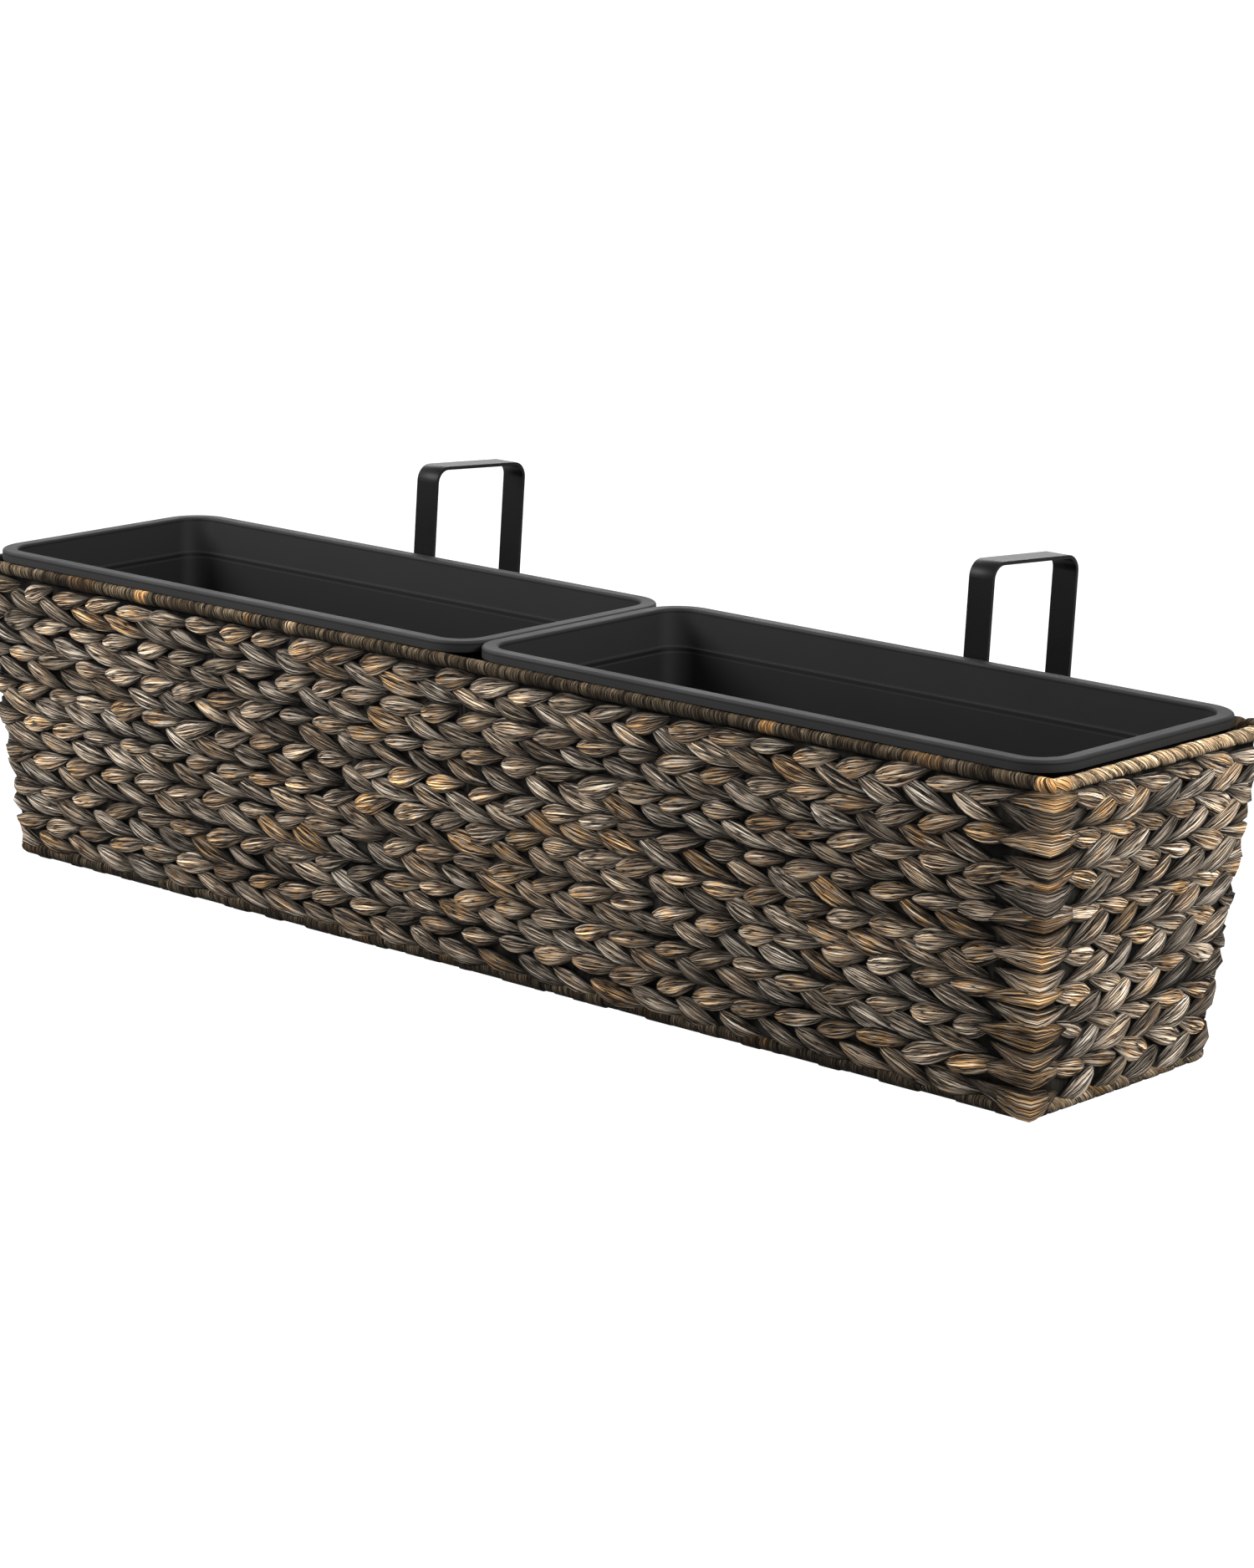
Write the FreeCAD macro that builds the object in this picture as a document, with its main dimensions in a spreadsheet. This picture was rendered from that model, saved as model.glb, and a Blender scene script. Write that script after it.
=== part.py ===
import FreeCAD, Part
import math
import os

import Sketcher

# A railing planter: a long plaited basket on a steel wire frame, two plastic inserts that hang on
# its rim and lift out, and two flat-steel hooks bolted to its back wall.
# Millimetres, +Z up, +X along the long side, the front faces -Y.
# The origin is on the floor, under the middle of the whole planter with its hooks.

doc = FreeCAD.newDocument("railing_planter")
sheet = doc.addObject("Spreadsheet::Sheet", "Sizes")

SIZES = [
    # The basket, over its walls
    ("rim_length", 800, "basket length over the weave, at the rim wire"),
    ("rim_width", 175, "basket width over the weave, at the rim wire"),
    ("base_length", 762, "basket length over the weave, at the base wire"),
    ("base_width", 151, "basket width over the weave, at the base wire"),
    ("basket_height", 177.7, "floor to the top of the rim binding"),
    ("weave_thickness", 8, "thickness of the plaited wall"),
    ("corner_radius", 5, "corner of the wall, at the middle of its thickness"),
    ("plait_waist", 5.6, "thickness of a plait between its two rows of lobes"),
    ("plait_seat", 0.1, "gap between the wall of plaits and each binding"),
    # The wire frame and its bindings
    ("ring_wire", 5, "diameter of the rim wire and the base wire"),
    ("post_wire", 3, "diameter of the posts and the cross wires"),
    ("binding_diameter", 8, "outside of the fibre wound round a ring wire"),
    ("binding_fit", 0.05, "gap between a ring wire and its binding"),
    ("foot_flat", 0.5, "depth of the flat worn on the underside of the base binding"),
    ("post_fit", 0.15, "gap round a post where it passes a plait or a binding"),
    ("cut_overrun", 20, "length by which a cut runs past the material"),
    ("floor_fit", 0.3, "gap between the floor plaits and the walls"),
    # The inserts
    ("insert_length", 392.4, "length of an insert over its rim"),
    ("insert_width", 169, "width of an insert over its rim"),
    ("insert_height", 150, "top of the rim to the underside"),
    ("insert_gap", 0.8, "gap between the rims of the two inserts"),
    ("insert_seat", 0.3, "gap between the skirt of an insert and the rim binding"),
    ("insert_wall", 2.2, "thickness of the walls and the floor of an insert"),
    ("rim_corner", 24, "corner radius of an insert's rim"),
    ("rim_flat", 8.7, "width of the flat top of the rim, wall included"),
    ("skirt_height", 6, "height of the turned-down edge of the rim"),
    ("ledge_depth", 21, "top of the rim to the ledge in the walls"),
    ("ledge_step", 1.8, "inward step of the walls at the ledge"),
    ("end_ease", 4.7, "how much less an insert's end wall leans in than the basket's end"),
    ("side_extra", 5.9, "how much more an insert's long wall leans in than the basket's side"),
    ("least_draft", 3, "least inward lean over the height that lets an insert leave its mould"),
    ("foot_round", 6, "rounding between the walls and the underside"),
    ("rim_round", 1.5, "rounding of the edges of the rim"),
    # The hooks and what holds them
    ("hook_spacing", 413, "middle to middle of the two hooks"),
    ("hook_shift", 4, "how far the pair of hooks sits to the right of the middle"),
    ("hook_rise", 61.5, "rim wire to the top of a hook, along the leaning wall"),
    ("hook_gap", 71, "clear width between the legs of a hook, for the railing"),
    ("hook_bar_width", 16, "width of the flat bar"),
    ("hook_bar_thickness", 2, "thickness of the flat bar"),
    ("hook_bend", 7.5, "inside radius of a bend"),
    ("hook_stand_off", 0.6, "gap between the plane of the back wall and a hook"),
    ("front_leg_drop", 112, "rim wire to the lower end of the leg on the basket"),
    ("back_leg_length", 95, "top of a hook to the lower end of its free leg"),
    ("leg_end_round", 4, "rounded corners at the lower ends of the legs"),
    ("upper_bolt_drop", 42, "rim wire to the upper bolt"),
    ("lower_bolt_drop", 96, "rim wire to the lower bolt"),
    ("bolt_diameter", 5, "shank of a bolt"),
    ("bolt_head_diameter", 9.5, "head of a bolt"),
    ("bolt_head_height", 2.8, "height of a bolt's domed head"),
    ("bolt_fit", 0.15, "gap round a bolt in its hole"),
    ("strip_thickness", 2.5, "thickness of a clamp strip"),
    ("strip_margin", 12, "clamp strip past the middle of each bolt"),
    ("strip_seat", 0.6, "gap between the plane of the wall's inside and a clamp strip"),
]

COURSE_COUNT = 8
FLOOR_PLAIT_COUNT = 6
CROSS_WIRE_COUNT = 5
# Where the posts of the front wall stand, as shares of half its length from the middle
POST_SHARES = (-0.5, 0, 0.5)
# Heights no further apart than this are the same height
SAME_HEIGHT = 1e-4

for row, (alias, number, meaning) in enumerate(SIZES, start=1):
    sheet.set(f"A{row}", meaning)
    sheet.set(f"B{row}", str(number))
    sheet.setAlias(f"B{row}", alias)
doc.recompute()

# Sizes that follow from the driving ones, as expressions
RIM_Z = "(Sizes.basket_height - Sizes.binding_diameter / 2)"
BASE_Z = "(Sizes.binding_diameter / 2 - Sizes.foot_flat)"
WALL_RISE = f"({RIM_Z} - {BASE_Z})"
WEAVE_FOOT = f"({BASE_Z} + Sizes.binding_diameter / 2 + Sizes.plait_seat)"
WEAVE_TOP = f"({RIM_Z} - Sizes.binding_diameter / 2 - Sizes.plait_seat)"
COURSE_HEIGHT = f"(({WEAVE_TOP} - {WEAVE_FOOT}) / {COURSE_COUNT})"
INSERT_TOP = "(Sizes.basket_height + Sizes.insert_seat + Sizes.skirt_height)"
# Inward lean of an insert's walls over its height, after the lean of the basket round it
DEPTH_SHARE = f"(Sizes.insert_height / {WALL_RISE})"
END_LEAN = f"((Sizes.rim_length - Sizes.base_length) / 2 * {DEPTH_SHARE} - Sizes.end_ease)"
SIDE_LEAN = f"((Sizes.rim_width - Sizes.base_width) / 2 * {DEPTH_SHARE} + Sizes.side_extra)"
END_DRAFT = f"max({END_LEAN}; Sizes.least_draft)"
SIDE_DRAFT = f"max({SIDE_LEAN}; Sizes.least_draft)"
LEAN = f"atan((Sizes.rim_width - Sizes.base_width) / 2 / {WALL_RISE})"
# How far the hooks stand out behind the rim, which sets where the basket's middle is
BEND_OUT = "(Sizes.hook_stand_off + Sizes.hook_bar_thickness + Sizes.hook_gap - Sizes.hook_bend)"
BEND_UP = "(Sizes.hook_rise - Sizes.hook_bend - Sizes.hook_bar_thickness)"
BEND_ROUND = "(Sizes.hook_bend + Sizes.hook_bar_thickness)"
HOOK_REACH = f"({BEND_OUT} * cos({LEAN}) + {BEND_UP} * sin({LEAN}) + {BEND_ROUND})"
MIDDLE_Y = f"(-{HOOK_REACH} / 2)"

nodes = []


def value(expression):
    """The number that an expression has now, to draw a shape near its final place"""
    return float(sheet.evalExpression(expression))


def label(piece, name):
    """Names a finished sub-part and lists it for the files"""
    piece.Label = name
    nodes.append(piece)
    return piece


def wall_length(height):
    """Basket length at a height, at the middle of the wall's thickness"""
    share = f"(({height} - {BASE_Z}) / {WALL_RISE})"
    return f"(Sizes.base_length + (Sizes.rim_length - Sizes.base_length) * {share} - Sizes.weave_thickness)"


def wall_width(height):
    """Basket width at a height, at the middle of the wall's thickness"""
    share = f"(({height} - {BASE_Z}) / {WALL_RISE})"
    return f"(Sizes.base_width + (Sizes.rim_width - Sizes.base_width) * {share} - Sizes.weave_thickness)"


def back_wall_point(along, up, out):
    """A point given along X, up the leaning back wall from the rim wire, and out of the wall's outer plane"""
    depth = f"({MIDDLE_Y} + Sizes.rim_width / 2 + ({out}) * cos({LEAN}) + ({up}) * sin({LEAN}))"
    height = f"({RIM_Z} - ({out}) * sin({LEAN}) + ({up}) * cos({LEAN}))"
    return along, depth, height


# Sketches


def plane_sketch(body, name, role, offset="0"):
    """A sketch on one of the body's own planes, lifted off it by an offset"""
    sketch = body.newObject("Sketcher::SketchObject", name)
    plane = next(item for item in body.Origin.OriginFeatures if item.Role == role)
    sketch.AttachmentSupport = (plane, "")
    sketch.MapMode = "FlatFace"
    sketch.setExpression("AttachmentOffset.Base.z", offset)
    return sketch


def drive(sketch, name, expression, kind, *where):
    """Adds a dimension to a sketch and binds it to an expression"""
    index = sketch.addConstraint(Sketcher.Constraint(kind, *where, value(expression)))
    sketch.renameConstraint(index, name)
    sketch.setExpression(f"Constraints.{name}", expression)


def hold(sketch, kind, *where):
    """Adds a constraint that has no size"""
    sketch.addConstraint(Sketcher.Constraint(kind, *where))


def line(sketch, start, end):
    return sketch.addGeometry(Part.LineSegment(FreeCAD.Vector(*start), FreeCAD.Vector(*end)))


def arc(sketch, centre, radius, start, end):
    """An arc between two angles in degrees, anticlockwise"""
    circle = Part.Circle(FreeCAD.Vector(*centre), FreeCAD.Vector(0, 0, 1), radius)
    return sketch.addGeometry(Part.ArcOfCircle(circle, math.radians(start), math.radians(end)))


def rounded_rectangle(sketch, prefix, length, width, radius):
    """A closed outline round the sketch's origin that starts in the middle of its right side"""
    x, y, r = value(length) / 2, value(width) / 2, value(radius)
    sides = [
        line(sketch, (x, 0), (x, y - r)),
        line(sketch, (x - r, y), (r - x, y)),
        line(sketch, (-x, y - r), (-x, r - y)),
        line(sketch, (r - x, -y), (x - r, -y)),
        line(sketch, (x, r - y), (x, 0)),
    ]
    corners = [
        arc(sketch, (x - r, y - r), r, 0, 90),
        arc(sketch, (r - x, y - r), r, 90, 180),
        arc(sketch, (r - x, r - y), r, 180, 270),
        arc(sketch, (x - r, r - y), r, 270, 360),
    ]
    for side, corner, after in zip(sides, corners, sides[1:]):
        hold(sketch, "Tangent", side, 2, corner, 1)
        hold(sketch, "Tangent", corner, 2, after, 1)
    hold(sketch, "Coincident", sides[4], 2, sides[0], 1)
    hold(sketch, "PointOnObject", sides[0], 1, -1)
    for side in (sides[0], sides[2], sides[4]):
        hold(sketch, "Vertical", side)
    for side in (sides[1], sides[3]):
        hold(sketch, "Horizontal", side)
    for corner in corners[1:]:
        hold(sketch, "Equal", corners[0], corner)
    drive(sketch, prefix + "radius", radius, "Radius", corners[0])
    drive(sketch, prefix + "right", f"{length} / 2", "DistanceX", -1, 1, sides[0], 1)
    drive(sketch, prefix + "left", f"{length} / 2", "DistanceX", sides[2], 1, -1, 1)
    drive(sketch, prefix + "top", f"{width} / 2", "DistanceY", -1, 1, sides[1], 1)
    drive(sketch, prefix + "bottom", f"{width} / 2", "DistanceY", sides[3], 1, -1, 1)


def plait_section(sketch, centre, height, thickness, waist):
    """A plait cut across: two bulging rows of lobes, one above the other, with flat top and bottom"""
    x, h, w = value(centre), value(height) / 2, value(waist) / 2
    bulge = f"(({thickness} - {waist}) / 2)"
    radius = f"((({height} / 4)^2 + {bulge}^2) / (2 * {bulge}))"
    r = value(radius)
    reach = math.sqrt(r * r - h * h / 4)
    spread = math.degrees(math.asin(h / 2 / r))
    top = line(sketch, (x + w, h), (x - w, h))
    left_upper = arc(sketch, (x - w + reach, h / 2), r, 180 - spread, 180 + spread)
    left_lower = arc(sketch, (x - w + reach, -h / 2), r, 180 - spread, 180 + spread)
    bottom = line(sketch, (x - w, -h), (x + w, -h))
    right_lower = arc(sketch, (x + w - reach, -h / 2), r, -spread, spread)
    right_upper = arc(sketch, (x + w - reach, h / 2), r, -spread, spread)
    outline = [top, left_upper, left_lower, bottom, right_lower, right_upper]
    for edge, after in zip(outline, outline[1:] + outline[:1]):
        hold(sketch, "Coincident", edge, 2, after, 1)
    hold(sketch, "Horizontal", top)
    hold(sketch, "Horizontal", bottom)
    for bow in (left_lower, right_lower, right_upper):
        hold(sketch, "Equal", left_upper, bow)
    for bow in (left_upper, right_lower):
        hold(sketch, "PointOnObject", bow, 2, -1)
    hold(sketch, "Vertical", left_upper, 1, left_upper, 2)
    hold(sketch, "Vertical", left_upper, 1, left_lower, 2)
    hold(sketch, "Vertical", right_lower, 1, right_lower, 2)
    drive(sketch, "bow_radius", radius, "Radius", left_upper)
    drive(sketch, "outer_flank", f"{centre} + {waist} / 2", "DistanceX", -1, 1, top, 1)
    drive(sketch, "seat_width", waist, "DistanceX", top, 2, top, 1)
    drive(sketch, "upper_seat", f"{height} / 2", "DistanceY", -1, 1, top, 1)
    drive(sketch, "lower_seat", f"{height} / 2", "DistanceY", bottom, 1, -1, 1)


def circle_section(sketch, centre, diameter):
    """A round section whose middle is on the sketch's X axis"""
    middle = FreeCAD.Vector(value(centre), 0, 0)
    circle = sketch.addGeometry(Part.Circle(middle, FreeCAD.Vector(0, 0, 1), value(diameter) / 2))
    hold(sketch, "PointOnObject", circle, 3, -1)
    drive(sketch, "centre", centre, "DistanceX", -1, 1, circle, 3)
    drive(sketch, "across", diameter, "Diameter", circle)


# Solids


def swept_ring(name, height, draw_section, *section_sizes):
    """A section swept round the basket at one height, along the middle of the wall's thickness"""
    body = doc.addObject("PartDesign::Body", name)
    path = plane_sketch(body, name + "_path", "XY_Plane")
    rounded_rectangle(path, "path_", wall_length(height), wall_width(height), "Sizes.corner_radius")
    section = plane_sketch(body, name + "_section", "XZ_Plane")
    draw_section(section, f"({wall_length(height)} / 2)", *section_sizes)
    doc.recompute()
    sweep = body.newObject("PartDesign::AdditivePipe", name + "_sweep")
    sweep.Profile = section
    sweep.Spine = (path, [f"Edge{edge}" for edge in range(1, len(path.Geometry) + 1)])
    body.setExpression("Placement.Base.y", MIDDLE_Y)
    body.setExpression("Placement.Base.z", height)
    return body


def rod(name, foot, head, diameter):
    """A round rod from its foot point to its head point"""
    bar = doc.addObject("Part::Cylinder", name)
    run, side, rise = [f"({end} - ({start}))" for start, end in zip(foot, head)]
    reach = f"sqrt({run}^2 + {side}^2)"
    bar.setExpression("Radius", f"{diameter} / 2")
    bar.setExpression("Height", f"sqrt({run}^2 + {side}^2 + {rise}^2)")
    base = f"vector({foot[0]}; {foot[1]}; {foot[2]})"
    turn = f"rotation(vector(-{side}; {run}; 0); atan2({reach}; {rise}))"
    bar.setExpression("Placement", f"placement({base}; {turn})")
    return bar


def group(name, pieces):
    """Several solids kept together as one object"""
    bundle = doc.addObject("Part::Compound", name)
    bundle.Links = pieces
    return bundle


def cut(name, base, tool):
    """What is left of one object once another is taken from it"""
    result = doc.addObject("Part::Cut", name)
    result.Base = base
    result.Tool = tool
    return result


# The two ring wires and the rods between them

rim_wire = label(swept_ring("rim_wire", RIM_Z, circle_section, "Sizes.ring_wire"), "rim_wire")
base_wire = label(swept_ring("base_wire", BASE_Z, circle_section, "Sizes.ring_wire"), "base_wire")
ring_wires = group("ring_wires", [rim_wire, base_wire])


def corner_point(x_sign, y_sign, height):
    """The middle of a rounded corner of the wall"""
    inset = "Sizes.corner_radius * (1 - cos(45 deg))"
    x = f"({x_sign} * ({wall_length(height)} / 2 - {inset}))"
    y = f"({MIDDLE_Y} + {y_sign} * ({wall_width(height)} / 2 - {inset}))"
    return x, y, height


def side_point(along, y_sign, height):
    """A point on a long wall, given along X"""
    return along, f"({MIDDLE_Y} + {y_sign} * {wall_width(height)} / 2)", height


def part_way(share, height):
    """The place along X at a share of half the wall's length from the middle"""
    return f"({share} * {wall_length(height)} / 2)"


HOOK_PLACES = {
    "left": "(Sizes.hook_shift - Sizes.hook_spacing / 2)",
    "right": "(Sizes.hook_shift + Sizes.hook_spacing / 2)",
}
# The outer posts of the back wall stand beside the hooks
BACK_POST_PLACES = (
    f"({HOOK_PLACES['left']} - Sizes.hook_bar_width)",
    "0",
    f"({HOOK_PLACES['right']} + Sizes.hook_bar_width)",
)

post_lines = {}
for y_name, y_sign in (("front", -1), ("back", 1)):
    for x_name, x_sign in (("left", -1), ("right", 1)):
        ends = [corner_point(x_sign, y_sign, height) for height in (BASE_Z, RIM_Z)]
        post_lines[f"corner_post_{y_name}_{x_name}"] = ends
for number, share in enumerate(POST_SHARES, start=1):
    ends = [side_point(part_way(share, height), -1, height) for height in (BASE_Z, RIM_Z)]
    post_lines[f"front_post_{number}"] = ends
for number, along in enumerate(BACK_POST_PLACES, start=1):
    ends = [side_point(along, 1, height) for height in (BASE_Z, RIM_Z)]
    post_lines[f"back_post_{number}"] = ends

post_holes = []
for name, (foot, head) in post_lines.items():
    # A saddle at each end of a post sits on the ring wire that it is welded to
    whole = rod(name + "_rod", foot, head, "Sizes.post_wire")
    label(cut(name, whole, ring_wires), name)
    post_holes.append(rod(name + "_hole", foot, head, "(Sizes.post_wire + 2 * Sizes.post_fit)"))

cross_holes = []
for number in range(1, CROSS_WIRE_COUNT + 1):
    along = part_way(f"({number} / {CROSS_WIRE_COUNT + 1} * 2 - 1)", BASE_Z)
    name = f"base_cross_wire_{number}"
    foot, head = side_point(along, -1, BASE_Z), side_point(along, 1, BASE_Z)
    whole = rod(name + "_rod", foot, head, "Sizes.post_wire")
    label(cut(name, whole, base_wire), name)
    cross_holes.append(rod(name + "_hole", foot, head, "(Sizes.post_wire + 2 * Sizes.post_fit)"))

# The bolts that hold the hooks, and the holes for them

BOLT_DROPS = ("Sizes.upper_bolt_drop", "Sizes.lower_bolt_drop")
HOOK_FACE = "(Sizes.hook_stand_off + Sizes.hook_bar_thickness)"
STRIP_FACE = "(-Sizes.weave_thickness - Sizes.strip_seat - Sizes.strip_thickness)"

BOLT_BORE = "(Sizes.bolt_diameter + 2 * Sizes.bolt_fit)"
BOLT_REACH = f"({HOOK_FACE} - {STRIP_FACE})"


def bolt(name, along, drop):
    """A domed bolt turned about its own Z, which runs out of the back wall from under the head"""
    body = doc.addObject("PartDesign::Body", name)
    outline = plane_sketch(body, name + "_outline", "XZ_Plane")
    reach = value(BOLT_REACH)
    shank = value("Sizes.bolt_diameter") / 2
    head = value("Sizes.bolt_head_diameter") / 2
    crown = value("Sizes.bolt_head_height")
    dome = (head * head + crown * crown) / (2 * crown)
    start = math.degrees(math.atan2(dome - crown, head))
    axis = line(outline, (0, crown), (0, -reach))
    tip = line(outline, (0, -reach), (shank, -reach))
    side = line(outline, (shank, -reach), (shank, 0))
    seat = line(outline, (shank, 0), (head, 0))
    top = arc(outline, (0, crown - dome), dome, start, 90)
    edges = [axis, tip, side, seat, top]
    for edge, after in zip(edges, edges[1:] + edges[:1]):
        hold(outline, "Coincident", edge, 2, after, 1)
    for upright in (axis, side):
        hold(outline, "Vertical", upright)
    for level in (tip, seat):
        hold(outline, "Horizontal", level)
    hold(outline, "PointOnObject", axis, 1, -2)
    hold(outline, "PointOnObject", top, 3, -2)
    hold(outline, "PointOnObject", seat, 1, -1)
    drive(outline, "shank", "Sizes.bolt_diameter / 2", "DistanceX", -1, 1, side, 1)
    drive(outline, "head", "Sizes.bolt_head_diameter / 2", "DistanceX", -1, 1, seat, 2)
    drive(outline, "crown", "Sizes.bolt_head_height", "DistanceY", -1, 1, axis, 1)
    drive(outline, "reach", BOLT_REACH, "DistanceY", axis, 2, -1, 1)
    turned = body.newObject("PartDesign::Revolution", name + "_turned")
    turned.Profile = outline
    turned.ReferenceAxis = (outline, ["V_Axis"])
    turned.Angle = 360
    base = "; ".join(back_wall_point(along, f"-{drop}", HOOK_FACE))
    turn = f"rotation(vector(1; 0; 0); -(90 deg + {LEAN}))"
    body.setExpression("Placement", f"placement(vector({base}); {turn})")
    return body


bolts = []
bolt_holes = []
for side, along in HOOK_PLACES.items():
    for number, drop in enumerate(BOLT_DROPS, start=1):
        name = f"bolt_{side}_{number}"
        bolts.append(bolt(name, along, drop))
        inner_end = back_wall_point(along, f"-{drop}", f"{STRIP_FACE} - Sizes.cut_overrun")
        outer_end = back_wall_point(along, f"-{drop}", f"{HOOK_FACE} + Sizes.cut_overrun")
        bolt_holes.append(rod(name + "_hole", inner_end, outer_end, BOLT_BORE))
label(group("hook_bolts", bolts), "hook_bolts")
bolt_cut = group("bolt_cut", bolt_holes)

# The wall of plaits, course by course from the floor up

wall_cut = group("wall_cut", post_holes + bolt_holes)
for number in range(1, COURSE_COUNT + 1):
    name = f"plait_course_{number}"
    middle = f"({WEAVE_FOOT} + {COURSE_HEIGHT} * ({number} - 1 / 2))"
    sizes = (COURSE_HEIGHT, "Sizes.weave_thickness", "Sizes.plait_waist")
    ring = swept_ring(name + "_ring", middle, plait_section, *sizes)
    label(cut(name, ring, wall_cut), name)

# The bindings wound round the two ring wires

BINDING_BORE = "(Sizes.ring_wire + 2 * Sizes.binding_fit)"
floor_block = doc.addObject("Part::Box", "floor_block")
floor_block.setExpression("Length", "2 * Sizes.rim_length")
floor_block.setExpression("Width", "2 * Sizes.rim_width")
floor_block.setExpression("Height", "Sizes.cut_overrun")
floor_block.setExpression("Placement.Base.x", "-Sizes.rim_length")
floor_block.setExpression("Placement.Base.y", "-Sizes.rim_width")
floor_block.setExpression("Placement.Base.z", "-Sizes.cut_overrun")

rim_round = swept_ring("rim_binding_round", RIM_Z, circle_section, "Sizes.binding_diameter")
rim_bore = swept_ring("rim_binding_bore", RIM_Z, circle_section, BINDING_BORE)
label(cut("rim_binding", rim_round, group("rim_binding_cut", [rim_bore] + post_holes)), "rim_binding")
base_round = swept_ring("base_binding_round", BASE_Z, circle_section, "Sizes.binding_diameter")
base_bore = swept_ring("base_binding_bore", BASE_Z, circle_section, BINDING_BORE)
base_tube = cut("base_binding_tube", base_round, base_bore)
base_pierced = cut("base_binding_pierced", base_tube, group("base_binding_cut", post_holes + cross_holes))
label(cut("base_binding", base_pierced, floor_block), "base_binding")

# The floor: plaits laid lengthwise on the cross wires

FLOOR_FOOT = f"({BASE_Z} + Sizes.post_wire / 2)"
FLOOR_LENGTH = "(Sizes.base_length - 2 * Sizes.weave_thickness - 2 * Sizes.floor_fit)"
FLOOR_PITCH = f"((Sizes.base_width - 2 * Sizes.weave_thickness - 2 * Sizes.floor_fit) / {FLOOR_PLAIT_COUNT})"
for number in range(1, FLOOR_PLAIT_COUNT + 1):
    name = f"floor_plait_{number}"
    body = doc.addObject("PartDesign::Body", name)
    section = plane_sketch(body, name + "_section", "YZ_Plane")
    plait_section(section, "0", FLOOR_PITCH, "Sizes.weave_thickness", "Sizes.plait_waist")
    run = body.newObject("PartDesign::Pad", name + "_run")
    run.Profile = section
    run.SideType = "Symmetric"
    run.setExpression("Length", FLOOR_LENGTH)
    across = f"({MIDDLE_Y} + ({number} - 1 / 2 - {FLOOR_PLAIT_COUNT} / 2) * {FLOOR_PITCH})"
    base = f"vector(0; {across}; {FLOOR_FOOT} + Sizes.weave_thickness / 2)"
    body.setExpression("Placement", f"placement({base}; rotation(vector(1; 0; 0); 90))")
    label(body, name)

# The inserts


def level_edges(feature, height):
    """Names of a feature's edges that lie at one height"""
    names = []
    for number, edge in enumerate(feature.Shape.Edges, start=1):
        ends = (edge.BoundBox.ZMin, edge.BoundBox.ZMax)
        if all(abs(end - height) < SAME_HEIGHT for end in ends):
            names.append(f"Edge{number}")
    return names


def insert_section(body, name, depth, inset):
    """The outline of an insert at a depth below its rim, drawn in from the rim's outline"""
    sketch = plane_sketch(body, name, "XY_Plane", f"-{depth}")
    length = f"(Sizes.insert_length - 2 * ({inset(END_DRAFT)}))"
    width = f"(Sizes.insert_width - 2 * ({inset(SIDE_DRAFT)}))"
    corner = f"(Sizes.rim_corner - ({inset('0')}))"
    rounded_rectangle(sketch, "wall_", length, width, corner)
    return sketch


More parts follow.
